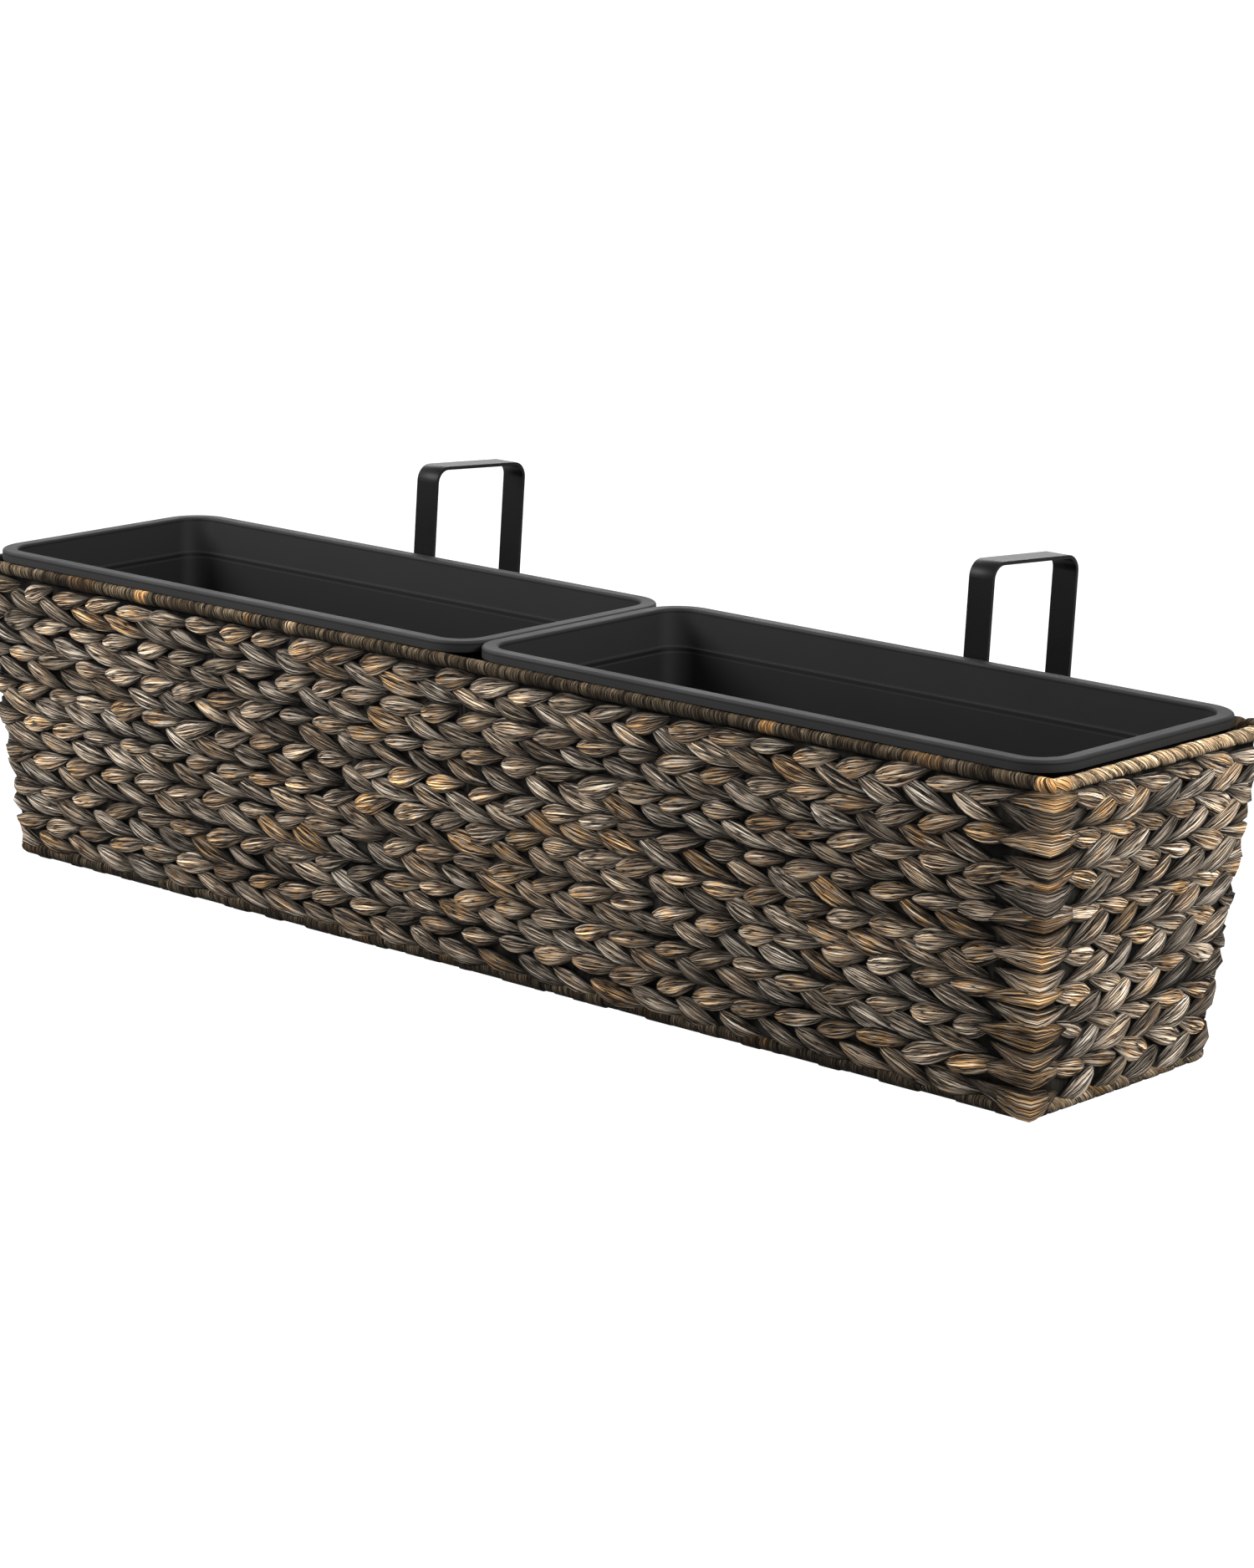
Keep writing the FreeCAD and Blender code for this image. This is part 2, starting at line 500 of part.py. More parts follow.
def insert(name, middle):
    """A moulded tub with leaning walls, a ledge part-way down, a flat rim and a turned-down skirt"""
    body = doc.addObject("PartDesign::Body", name)
    skin = "(Sizes.rim_flat - Sizes.insert_wall)"
    floor = "(Sizes.insert_height - Sizes.insert_wall)"

    def inset(depth, step, wall):
        return lambda draft: f"{skin} + {step} + {wall} + {draft} * {depth} / Sizes.insert_height"

    rim_sketch = plane_sketch(body, name + "_rim_outline", "XY_Plane")
    rounded_rectangle(rim_sketch, "rim_", "Sizes.insert_length", "Sizes.insert_width", "Sizes.rim_corner")
    rim = body.newObject("PartDesign::Pad", name + "_rim")
    rim.Profile = rim_sketch
    rim.Reversed = True
    rim.setExpression("Length", "Sizes.insert_wall")

    skirt_sketch = plane_sketch(body, name + "_skirt_outline", "XY_Plane")
    rounded_rectangle(skirt_sketch, "outer_", "Sizes.insert_length", "Sizes.insert_width", "Sizes.rim_corner")
    rounded_rectangle(
        skirt_sketch,
        "inner_",
        "(Sizes.insert_length - 2 * Sizes.insert_wall)",
        "(Sizes.insert_width - 2 * Sizes.insert_wall)",
        "(Sizes.rim_corner - Sizes.insert_wall)",
    )
    skirt = body.newObject("PartDesign::Pad", name + "_skirt")
    skirt.Profile = skirt_sketch
    skirt.Reversed = True
    skirt.setExpression("Length", "Sizes.skirt_height")

    def loft(kind, part, levels):
        sections = [
            insert_section(body, f"{name}_{part}_{number}", depth, inset(depth, step, wall))
            for number, (depth, step, wall) in enumerate(levels, start=1)
        ]
        feature = body.newObject(kind, f"{name}_{part}")
        feature.Profile = sections[0]
        feature.Sections = sections[1:]
        feature.Ruled = True
        doc.recompute()
        return feature

    ledge = "Sizes.ledge_depth"
    step = "Sizes.ledge_step"
    wall = "Sizes.insert_wall"
    outer_ledge = "(Sizes.ledge_depth + Sizes.insert_wall)"
    foot = "Sizes.insert_height"
    loft("PartDesign::AdditiveLoft", "collar", [("0", "0", "0"), (outer_ledge, "0", "0")])
    tub = loft("PartDesign::AdditiveLoft", "tub", [(ledge, step, "0"), (foot, step, "0")])
    underside = body.newObject("PartDesign::Fillet", name + "_foot_round")
    underside.Base = (tub, level_edges(tub, -value(foot)))
    underside.setExpression("Radius", "Sizes.foot_round")
    doc.recompute()
    loft("PartDesign::SubtractiveLoft", "mouth", [("0", "0", wall), (ledge, "0", wall)])
    hollow = loft("PartDesign::SubtractiveLoft", "hollow", [(ledge, step, wall), (floor, step, wall)])
    inside = body.newObject("PartDesign::Fillet", name + "_floor_round")
    inside.Base = (hollow, level_edges(hollow, -value(floor)))
    inside.setExpression("Radius", "Sizes.foot_round - Sizes.insert_wall")
    doc.recompute()
    edges = body.newObject("PartDesign::Fillet", name + "_rim_round")
    edges.Base = (inside, level_edges(inside, 0))
    edges.setExpression("Radius", "Sizes.rim_round")
    body.setExpression("Placement.Base.x", middle)
    body.setExpression("Placement.Base.y", MIDDLE_Y)
    body.setExpression("Placement.Base.z", INSERT_TOP)
    return label(body, name)


insert("insert_left", "-(Sizes.insert_length + Sizes.insert_gap) / 2")
insert("insert_right", "(Sizes.insert_length + Sizes.insert_gap) / 2")

# The hooks and the clamp strips behind the weave


def hook_outline(sketch):
    """Flat bar bent to an upside-down U, seen from its edge: y out of the back wall, z up along it"""
    near = value("Sizes.hook_stand_off")
    thick = value("Sizes.hook_bar_thickness")
    far = near + thick + value("Sizes.hook_gap")
    top = value("Sizes.hook_rise")
    bend = value("Sizes.hook_bend")
    outer_bend = bend + thick
    spring = top - outer_bend
    front_end = -value("Sizes.front_leg_drop")
    back_end = top - value("Sizes.back_leg_length")
    front_outer = line(sketch, (near, front_end), (near, spring))
    front_outer_bend = arc(sketch, (near + outer_bend, spring), outer_bend, 90, 180)
    top_outer = line(sketch, (near + outer_bend, top), (far + thick - outer_bend, top))
    back_outer_bend = arc(sketch, (far - bend, spring), outer_bend, 0, 90)
    back_outer = line(sketch, (far + thick, spring), (far + thick, back_end))
    back_tip = line(sketch, (far + thick, back_end), (far, back_end))
    back_inner = line(sketch, (far, back_end), (far, spring))
    back_inner_bend = arc(sketch, (far - bend, spring), bend, 0, 90)
    top_inner = line(sketch, (far - bend, top - thick), (near + outer_bend, top - thick))
    front_inner_bend = arc(sketch, (near + outer_bend, spring), bend, 90, 180)
    front_inner = line(sketch, (near + thick, spring), (near + thick, front_end))
    front_tip = line(sketch, (near + thick, front_end), (near, front_end))
    hold(sketch, "Tangent", front_outer, 2, front_outer_bend, 2)
    hold(sketch, "Tangent", front_outer_bend, 1, top_outer, 1)
    hold(sketch, "Tangent", top_outer, 2, back_outer_bend, 2)
    hold(sketch, "Tangent", back_outer_bend, 1, back_outer, 1)
    hold(sketch, "Coincident", back_outer, 2, back_tip, 1)
    hold(sketch, "Coincident", back_tip, 2, back_inner, 1)
    hold(sketch, "Tangent", back_inner, 2, back_inner_bend, 1)
    hold(sketch, "Tangent", back_inner_bend, 2, top_inner, 1)
    hold(sketch, "Tangent", top_inner, 2, front_inner_bend, 1)
    hold(sketch, "Tangent", front_inner_bend, 2, front_inner, 1)
    hold(sketch, "Coincident", front_inner, 2, front_tip, 1)
    hold(sketch, "Coincident", front_tip, 2, front_outer, 1)
    for upright in (front_outer, back_outer, back_inner, front_inner):
        hold(sketch, "Vertical", upright)
    for level in (top_outer, top_inner, front_tip, back_tip):
        hold(sketch, "Horizontal", level)
    hold(sketch, "Coincident", front_outer_bend, 3, front_inner_bend, 3)
    hold(sketch, "Coincident", back_outer_bend, 3, back_inner_bend, 3)
    hold(sketch, "Equal", front_inner_bend, back_inner_bend)
    drive(sketch, "bend", "Sizes.hook_bend", "Radius", front_inner_bend)
    drive(sketch, "thickness", "Sizes.hook_bar_thickness", "DistanceX", front_outer, 1, front_inner, 2)
    drive(sketch, "stand_off", "Sizes.hook_stand_off", "DistanceX", -1, 1, front_outer, 1)
    drive(sketch, "gap", "Sizes.hook_gap", "DistanceX", front_inner, 2, back_inner, 1)
    drive(sketch, "rise", "Sizes.hook_rise", "DistanceY", -1, 1, top_outer, 1)
    drive(sketch, "drop", "Sizes.front_leg_drop", "DistanceY", front_outer, 1, -1, 1)
    drive(sketch, "back_leg", "Sizes.back_leg_length", "DistanceY", back_outer, 2, top_outer, 2)


def on_back_wall(piece, along):
    """Lays a piece on the leaning back wall, level with the rim wire"""
    base = f"vector({along}; {MIDDLE_Y} + Sizes.rim_width / 2; {RIM_Z})"
    piece.setExpression("Placement", f"placement({base}; rotation(vector(1; 0; 0); -{LEAN}))")


def hook(name, along):
    body = doc.addObject("PartDesign::Body", name + "_bar")
    outline = plane_sketch(body, name + "_outline", "YZ_Plane")
    hook_outline(outline)
    bar = body.newObject("PartDesign::Pad", name + "_pad")
    bar.Profile = outline
    bar.SideType = "Symmetric"
    bar.setExpression("Length", "Sizes.hook_bar_width")
    doc.recompute()
    ends = (-value("Sizes.front_leg_drop"), value("Sizes.hook_rise - Sizes.back_leg_length"))
    corners = []
    for number, edge in enumerate(bar.Shape.Edges, start=1):
        box = edge.BoundBox
        if box.YLength > box.XLength and any(abs(box.ZMax - end) < SAME_HEIGHT for end in ends):
            corners.append(f"Edge{number}")
    rounded = body.newObject("PartDesign::Fillet", name + "_tips")
    rounded.Base = (bar, corners)
    rounded.setExpression("Radius", "Sizes.leg_end_round")
    on_back_wall(body, along)
    label(cut(name, body, bolt_cut), name)


def clamp_strip(name, along):
    body = doc.addObject("PartDesign::Body", name + "_bar")
    outline = plane_sketch(body, name + "_outline", "YZ_Plane")
    near, far = value(STRIP_FACE), value(f"{STRIP_FACE} + Sizes.strip_thickness")
    top = value("Sizes.strip_margin - Sizes.upper_bolt_drop")
    bottom = value("-Sizes.strip_margin - Sizes.lower_bolt_drop")
    sides = [
        line(outline, (near, bottom), (far, bottom)),
        line(outline, (far, bottom), (far, top)),
        line(outline, (far, top), (near, top)),
        line(outline, (near, top), (near, bottom)),
    ]
    for side, after in zip(sides, sides[1:] + sides[:1]):
        hold(outline, "Coincident", side, 2, after, 1)
    for level, upright in zip(sides[0::2], sides[1::2]):
        hold(outline, "Horizontal", level)
        hold(outline, "Vertical", upright)
    drive(outline, "thickness", "Sizes.strip_thickness", "DistanceX", sides[0], 1, sides[0], 2)
    drive(outline, "inset", "Sizes.weave_thickness + Sizes.strip_seat", "DistanceX", sides[0], 2, -1, 1)
    drive(outline, "top", "Sizes.upper_bolt_drop - Sizes.strip_margin", "DistanceY", sides[2], 1, -1, 1)
    drive(outline, "bottom", "Sizes.lower_bolt_drop + Sizes.strip_margin", "DistanceY", sides[0], 1, -1, 1)
    bar = body.newObject("PartDesign::Pad", name + "_pad")
    bar.Profile = outline
    bar.SideType = "Symmetric"
    bar.setExpression("Length", "Sizes.hook_bar_width")
    on_back_wall(body, along)
    label(cut(name, body, bolt_cut), name)


for side, along in HOOK_PLACES.items():
    hook(f"hook_{side}", along)
    clamp_strip(f"clamp_strip_{side}", along)

doc.recompute()

for item in doc.Objects:
    if "Invalid" in item.State or "Error" in item.State:
        raise RuntimeError(f"{item.Label} could not be made")
for node in nodes:
    if node.Shape.isNull() or not node.Shape.isValid():
        raise RuntimeError(f"{node.Label} has no valid shape")

os.makedirs("parts", exist_ok=True)
for node in nodes:
    node.Shape.exportStep(f"parts/{node.Label}.step")
    solids = node.Shape.Solids
    print(f"{node.Label}: {len(solids)} solids, {sum(solid.Volume for solid in solids):.0f} mm3")
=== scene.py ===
import math
import random

import bmesh
import bpy
from mathutils import Matrix, Vector


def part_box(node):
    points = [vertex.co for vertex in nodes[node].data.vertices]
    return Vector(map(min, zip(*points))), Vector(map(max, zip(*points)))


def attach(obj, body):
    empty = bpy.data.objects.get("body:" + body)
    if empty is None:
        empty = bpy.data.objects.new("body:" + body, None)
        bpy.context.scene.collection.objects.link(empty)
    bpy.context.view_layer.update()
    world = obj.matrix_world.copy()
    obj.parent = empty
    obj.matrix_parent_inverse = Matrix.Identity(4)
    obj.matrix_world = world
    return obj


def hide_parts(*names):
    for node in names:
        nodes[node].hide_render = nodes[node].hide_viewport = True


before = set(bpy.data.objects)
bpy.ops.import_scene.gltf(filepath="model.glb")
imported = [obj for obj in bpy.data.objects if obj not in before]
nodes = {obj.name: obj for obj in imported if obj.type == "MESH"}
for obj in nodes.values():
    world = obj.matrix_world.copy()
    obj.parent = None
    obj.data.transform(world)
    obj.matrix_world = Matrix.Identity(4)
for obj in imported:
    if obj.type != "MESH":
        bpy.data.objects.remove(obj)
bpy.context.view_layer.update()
chance = random.Random(41)
MM = 0.001


# The basket's walls, as the wire frame gives them


def ring_sizes(node):
    """Half length, half width, height and depth of the middle of a ring wire"""
    low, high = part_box(node)
    wire = (high.z - low.z) / 2
    half_length = (high.x - low.x) / 2 - wire
    half_width = (high.y - low.y) / 2 - wire
    return half_length, half_width, (low.z + high.z) / 2, (low.y + high.y) / 2


RIM_LENGTH, RIM_WIDTH, RIM_Z, MIDDLE_Y = ring_sizes("rim_wire")
BASE_LENGTH, BASE_WIDTH, BASE_Z, _ = ring_sizes("base_wire")
COURSES = 8
FLOOR_PLAITS = 6
CORNER = 5 * MM
# Length of a corner's quarter turn
ARC = CORNER * math.pi / 2
# How far a corner is folded from round to sharp: the near one, and the others
NEAR_CREASE, FAR_CREASE = 0.7, 0.4


class Course:
    """A way round the basket at one height. It starts in the middle of the near corner, between the
    front and the right end, and runs along the right end, the back, the left end and the front."""

    def __init__(self, height):
        self.height = height
        length, width = self.half_sizes(height)
        end, side = 2 * (width - CORNER), 2 * (length - CORNER)
        # Corners and straight walls in turn, with half of the near corner first and half last
        runs = [ARC / 2, end, ARC, side, ARC, end, ARC, side, ARC / 2]
        self.marks = [sum(runs[:count]) for count in range(len(runs) + 1)]
        self.around = self.marks[-1]
        self.far_corner = self.marks[4] + ARC / 2

    def half_sizes(self, height):
        """Half the length and half the width of the tapered basket at a height"""
        share = (height - BASE_Z) / (RIM_Z - BASE_Z)
        length = BASE_LENGTH + (RIM_LENGTH - BASE_LENGTH) * share
        width = BASE_WIDTH + (RIM_WIDTH - BASE_WIDTH) * share
        return length, width

    def front(self, x):
        """The way to a place on the front wall"""
        return self.marks[7] + x + self.half_sizes(self.height)[0] - CORNER

    def point(self, way, height, out):
        """The point at a way along the course, a height, and a distance out of the wall's middle"""
        way = way % self.around
        run = next((n for n in range(9) if way <= self.marks[n + 1]), 8)
        share = (way - self.marks[run]) / (self.marks[run + 1] - self.marks[run])
        length, width = self.half_sizes(height)
        flat_x, flat_y = length - CORNER, width - CORNER
        if run % 2 == 0:
            corner = (run // 2) % 4
            # Degrees from +X; the near corner has half of its turn at each end of the way
            start, sweep = {0: (-45, 45), 8: (-90, 45)}.get(run, (corner * 90 - 90, 90))
            degrees = start + sweep * share
            off_face = math.radians(45 - abs(degrees - 90 * corner + 45))
            crease = NEAR_CREASE if corner == 0 else FAR_CREASE
            reach = (CORNER + out) * (1 + crease * (1 / math.cos(off_face) - 1))
            x_sign = 1 if corner in (0, 1) else -1
            y_sign = 1 if corner in (1, 2) else -1
            x = x_sign * flat_x + reach * math.cos(math.radians(degrees))
            y = y_sign * flat_y + reach * math.sin(math.radians(degrees))
        elif run == 1:
            x, y = length + out, flat_y * (2 * share - 1)
        elif run == 3:
            x, y = flat_x * (1 - 2 * share), width + out
        elif run == 5:
            x, y = -length - out, flat_y * (1 - 2 * share)
        else:
            x, y = flat_x * (2 * share - 1), -width - out
        return Vector((x, MIDDLE_Y + y, height))


def wrap(bm, course):
    """Bends a flat piece, drawn as way, distance out and height, round the basket, and keeps it
    above the floor"""
    for vert in bm.verts:
        way, out, height = vert.co
        vert.co = course.point(way, max(0, height), out)


def piece(bm, name, finish, slot, *replaced):
    """Makes a mesh object of the basket, which stands for the CAD nodes it replaces"""
    bmesh.ops.recalc_face_normals(bm, faces=bm.faces)
    for face in bm.faces:
        face.smooth = True
    mesh = bpy.data.meshes.new(name)
    bm.to_mesh(mesh)
    bm.free()
    mesh.materials.append(finish)
    made = bpy.data.objects.new(name, mesh)
    bpy.context.scene.collection.objects.link(made)
    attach(made, "basket")
    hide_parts(*replaced)


# Finishes


def linear(code):
    """An sRGB hex colour as linear red, green, blue and alpha"""
    parts = [int(code[n : n + 2], 16) / 255 for n in (1, 3, 5)]
    return [v / 12.92 if v <= 0.04045 else ((v + 0.055) / 1.055) ** 2.4 for v in parts] + [1.0]


def add(tree, kind, sockets, stops=(), **settings):
    """Adds a node with its settings, and gives its sockets values or links; returns its outputs"""
    made = tree.nodes.new(kind)
    for name, setting in settings.items():
        setattr(made, name, setting)
    for name, given in sockets.items():
        if isinstance(given, bpy.types.NodeSocket):
            tree.links.new(given, made.inputs[name])
        else:
            made.inputs[name].default_value = given
    for number, (place, code) in enumerate(stops):
        ramp = made.color_ramp.elements
        stop = ramp[number] if number < 2 else ramp.new(place)
        stop.position = place
        stop.color = linear(code)
    return made.outputs


def material(name):
    """A new material and its empty node tree"""
    made = bpy.data.materials.new(name)
    made.use_nodes = True
    tree = made.node_tree
    tree.nodes.clear()
    return made, tree


def surface(tree, shader):
    """Gives a material its shader"""
    add(tree, "ShaderNodeOutputMaterial", {"Surface": shader})


# What the dye leaves of the stems' own straw colour, against the grey-brown of the dye
GOLDEN_TINT = (1.32, 0.915, 0.5, 1)
# Size of the patches in which that colour comes through, along and across a stem
PATCH_MM = (7, 3)


def dyed_fibre(name, along_mm, across_mm, shades, rough, relief_mm):
    """Dried stems, dyed dark: lengthwise strands with pale crests and black cracks, some left
    golden. The attribute fibre gives millimetres along and across a stem and a number of the stem's
    own, and tone and warm give how pale and how golden it is; tone also carries the painted shade
    and painted highlights that the plaits and bindings lay on their vertices."""
    made, tree = material(name)
    fibre = add(tree, "ShaderNodeAttribute", {}, attribute_name="fibre")["Vector"]
    tone = add(tree, "ShaderNodeAttribute", {}, attribute_name="tone")["Fac"]
    warm = add(tree, "ShaderNodeAttribute", {}, attribute_name="warm")["Fac"]
    strand_at = add(
        tree,
        "ShaderNodeMapping",
        {"Vector": fibre, "Scale": (1 / along_mm, 1 / across_mm, 1)},
    )["Vector"]
    strand = add(
        tree,
        "ShaderNodeTexNoise",
        {"Vector": strand_at, "Scale": 1.0, "Detail": 5.0, "Roughness": 0.66, "Distortion": 0.25},
    )["Fac"]
    # Cracks run where a second noise, wider than the strands, crosses its middle
    crack_scale = (1 / along_mm, 1 / (1.7 * across_mm), 1)
    crack_at = add(
        tree,
        "ShaderNodeMapping",
        {"Vector": fibre, "Location": (50, 20, 8), "Scale": crack_scale},
    )["Vector"]
    crack = add(
        tree,
        "ShaderNodeTexNoise",
        {"Vector": crack_at, "Scale": 1.0, "Detail": 1.5},
    )["Fac"]
    crack = add(tree, "ShaderNodeMath", {0: crack, 1: 0.5}, operation="SUBTRACT")["Value"]
    crack = add(tree, "ShaderNodeMath", {0: crack}, operation="ABSOLUTE")["Value"]
    whole = add(
        tree,
        "ShaderNodeMapRange",
        {"Value": crack, "From Min": 0.01, "From Max": 0.07, "To Min": 0.03, "To Max": 1.0},
    )["Result"]
    depth = add(tree, "ShaderNodeMath", {0: tone, 1: whole}, operation="MULTIPLY")["Value"]
    ridge = add(tree, "ShaderNodeMath", {0: strand, 1: whole}, operation="MULTIPLY")["Value"]
    patch_at = add(
        tree,
        "ShaderNodeMapping",
        {"Vector": fibre, "Scale": (1 / PATCH_MM[0], 1 / PATCH_MM[1], 1)},
    )["Vector"]
    patch = add(
        tree,
        "ShaderNodeTexNoise",
        {"Vector": patch_at, "Scale": 1.0, "Detail": 2.0},
    )["Fac"]
    dyed = add(tree, "ShaderNodeValToRGB", {"Fac": strand}, stops=shades)["Color"]
    spread = add(
        tree,
        "ShaderNodeMapRange",
        {"Value": patch, "From Min": 0.35, "From Max": 0.65, "To Min": 0.2, "To Max": 1.8},
    )["Result"]
    warmth = add(
        tree,
        "ShaderNodeMath",
        {0: warm, 1: spread},
        operation="MULTIPLY",
        use_clamp=True,
    )["Value"]
    golden = add(
        tree,
        "ShaderNodeMix",
        {"Factor": warmth, 6: dyed, 7: GOLDEN_TINT},
        data_type="RGBA",
        blend_type="MULTIPLY",
    )[2]
    shade = add(
        tree,
        "ShaderNodeCombineColor",
        {"Red": depth, "Green": depth, "Blue": depth},
    )["Color"]
    shaded = add(
        tree,
        "ShaderNodeMix",
        {"Factor": 1.0, 6: golden, 7: shade},
        data_type="RGBA",
        blend_type="MULTIPLY",
    )[2]
    bump = add(
        tree,
        "ShaderNodeBump",
        {"Height": ridge, "Strength": 1.0, "Distance": relief_mm * MM},
    )["Normal"]
    # Cracks and deep tone, painted shade included, have no gloss
    matt = add(
        tree,
        "ShaderNodeMapRange",
        {"Value": depth, "From Min": 0.02, "From Max": 0.4, "To Min": 1.0, "To Max": rough},
    )["Result"]
    shader = add(
        tree,
        "ShaderNodeBsdfPrincipled",
        {"Base Color": shaded, "Roughness": matt, "Normal": bump, "Specular IOR Level": 0.1},
    )["BSDF"]
    surface(tree, shader)
    return made


# Water hyacinth stems, split, dyed and plaited: matt ribs a little under a millimetre wide along
# each lobe
hyacinth = dyed_fibre(
    "dyed_water_hyacinth",
    along_mm=30,
    across_mm=0.85,
    shades=[
        (0.38, "#080504"),
        (0.44, "#463C33"),
        (0.5, "#887A6B"),
        (0.56, "#B8AD9D"),
        (0.63, "#EDE7DD"),
    ],
    rough=0.5,
    relief_mm=1.5,
)
# The same fibre twisted thin and wound round the ring wires: turns under a millimetre wide that run
# across the wire
wound_hyacinth = dyed_fibre(
    "wound_water_hyacinth",
    along_mm=0.9,
    across_mm=14,
    shades=[
        (0.31, "#100A06"),
        (0.4, "#54432F"),
        (0.5, "#907A5E"),
        (0.6, "#C5B193"),
        (0.71, "#EFE3CB"),
    ],
    rough=0.5,
    relief_mm=0.9,
)

# Colours of an insert by millimetres below its top, with painted light: painted shade deepening
# to the foot, a painted shadow line at the ledge with a painted highlight on each side, the wall's
# own colour, a painted shadow line under the rim, and the rim with a painted highlight on its crest
INSERT_COLOURS_AND_PAINTED_LIGHT = [
    (90, "#030303"),
    (24.4, "#101010"),
    (23.5, "#242424"),
    (23.1, "#020202"),
    (21.3, "#020202"),
    (20.9, "#2C2C2C"),
    (20.0, "#1A1A1A"),
    (2.5, "#1B1B1B"),
    (2.2, "#070707"),
    (1.6, "#070707"),
    (1.3, "#1C1C1C"),
    (0.5, "#1F1F1F"),
    (0.3, "#2E2E2E"),
    (0.05, "#1C1C1C"),
]
# The eroded grain of the mould, about 0.1 mm, is too fine to show, so it is drawn at this width
GRAIN = 1.11 * MM
# Width of the faint clouds in the plastic's gloss
PLASTIC_CLOUD = 41.7 * MM
# The orange peel of the powder coat, drawn a little wider than the real one so that it shows
PEEL = 1.43 * MM
# Width of the faint clouds in the powder coat
COAT_CLOUD = 25 * MM


def moulded_polypropylene():
    """Black injection-moulded plastic: satin, with a fine eroded grain from its mould, a painted
    shadow line where the walls step in at the ledge and another under the rim, painted highlights
    beside the ledge line and along the rim, and painted shade deepening towards the foot"""
    made, tree = material("moulded_polypropylene")
    place = add(tree, "ShaderNodeTexCoord", {})["Object"]
    grain = add(
        tree,
        "ShaderNodeTexNoise",
        {"Vector": place, "Scale": 1 / GRAIN, "Detail": 2.0},
    )["Fac"]
    cloud = add(
        tree,
        "ShaderNodeTexNoise",
        {"Vector": place, "Scale": 1 / PLASTIC_CLOUD, "Detail": 3.0},
    )["Fac"]
    height = add(tree, "ShaderNodeSeparateXYZ", {"Vector": place})["Z"]
    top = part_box("insert_left")[1].z
    tall = INSERT_COLOURS_AND_PAINTED_LIGHT[0][0] * MM
    level = add(
        tree,
        "ShaderNodeMapRange",
        {"Value": height, "From Min": top - tall, "From Max": top},
    )["Result"]
    # The ramp lays the insert's own black with its painted shade and painted highlights by height
    colour = add(
        tree,
        "ShaderNodeValToRGB",
        {"Fac": level},
        stops=[(1 - drop * MM / tall, code) for drop, code in INSERT_COLOURS_AND_PAINTED_LIGHT],
    )["Color"]
    rough = add(
        tree,
        "ShaderNodeMapRange",
        {"Value": cloud, "From Min": 0.3, "From Max": 0.7, "To Min": 0.6, "To Max": 0.7},
    )["Result"]
    bump = add(
        tree,
        "ShaderNodeBump",
        {"Height": grain, "Strength": 0.25, "Distance": 0.1 * MM},
    )["Normal"]
    shader = add(
        tree,
        "ShaderNodeBsdfPrincipled",
        {"Base Color": colour, "Roughness": rough, "Normal": bump, "Specular IOR Level": 0.15},
    )["BSDF"]
    surface(tree, shader)
    return made


def powder_coated_steel():
    """Black powder coat baked on flat steel: an even soft gloss over a slight orange peel"""
    made, tree = material("powder_coated_steel")
    place = add(tree, "ShaderNodeTexCoord", {})["Object"]
    peel = add(
        tree,
        "ShaderNodeTexNoise",
        {"Vector": place, "Scale": 1 / PEEL, "Detail": 1.0},
    )["Fac"]
    cloud = add(
        tree,
        "ShaderNodeTexNoise",
        {"Vector": place, "Scale": 1 / COAT_CLOUD, "Detail": 2.0},
    )["Fac"]
    colour = add(
        tree,
        "ShaderNodeValToRGB",
        {"Fac": cloud},
        stops=[(0.3, "#0A0A0A"), (0.7, "#0E0E0E")],
    )["Color"]
    bump = add(
        tree,
        "ShaderNodeBump",
        {"Height": peel, "Strength": 0.3, "Distance": 0.12 * MM},
    )["Normal"]
    shader = add(
        tree,
        "ShaderNodeBsdfPrincipled",
        {"Base Color": colour, "Roughness": 0.42, "Normal": bump, "Specular IOR Level": 0.09},
    )["BSDF"]
    surface(tree, shader)
    return made


polypropylene = moulded_polypropylene()
powder_coat = powder_coated_steel()


# Plaits


# How far the widest place of a lobe lies from its middle towards the tip
WIDEST = 0.16
# Powers that round a lobe's outline towards its tip and its tail, and blunt both ends
TIP_ROUND, TAIL_ROUND, BLUNT = 1.9, 1.5, 0.85


class Lobe:
    """Shape of one kind of lobe: its size, its lean from tail to tip, how high its middle lies on
    the wall, how far its tail and its tip dive under the lobes next to it (less than nothing: rise
    over them), its thickness, and how far its line curls up at both ends"""

    def __init__(self, length, width, lean, height, tail_dive, tip_dive, thick, curl):
        self.length, self.width, self.lean = length * MM, width * MM, math.radians(lean)
        self.height, self.tail_dive, self.tip_dive = height * MM, tail_dive * MM, tip_dive * MM
        self.thick, self.curl = thick * MM, curl * MM

    def outline(self, x):
        """Share of the half width from the tail at -1 to the tip at 1, widest nearer to the tip"""
        x -= WIDEST * (1 - x * x)
        return max(0, 1 - abs(x) ** (TIP_ROUND if x > 0 else TAIL_ROUND)) ** BLUNT

    def middle(self, x):
        """How far the middle of the lobe lies out of the middle of the wall"""
        dive = self.tip_dive if x > 0 else self.tail_dive
        return self.height - dive * x * x


# Leaves that lie on top and bands that run under them, on the front and left walls, where the tips
# point left; millimetres and degrees
FRONT_LOBES = {
    "upper": Lobe(
        length=39, width=13, lean=-10, height=2.5, tail_dive=3.2, tip_dive=1.2, thick=2.6, curl=0.2
    ),
    "lower": Lobe(
        length=45, width=14, lean=14, height=2.1, tail_dive=2.8, tip_dive=1.6, thick=2.4, curl=1.2
    ),
}
# The same on the right and back walls, where they lean more
END_LOBES = {
    "upper": Lobe(
        length=38, width=13, lean=-14, height=2.5, tail_dive=3.2, tip_dive=1.2, thick=2.4, curl=0.2
    ),
    "lower": Lobe(
        length=40, width=15.6, lean=24, height=2.6, tail_dive=2.8, tip_dive=1.6, thick=2.4, curl=1.0
    ),
}
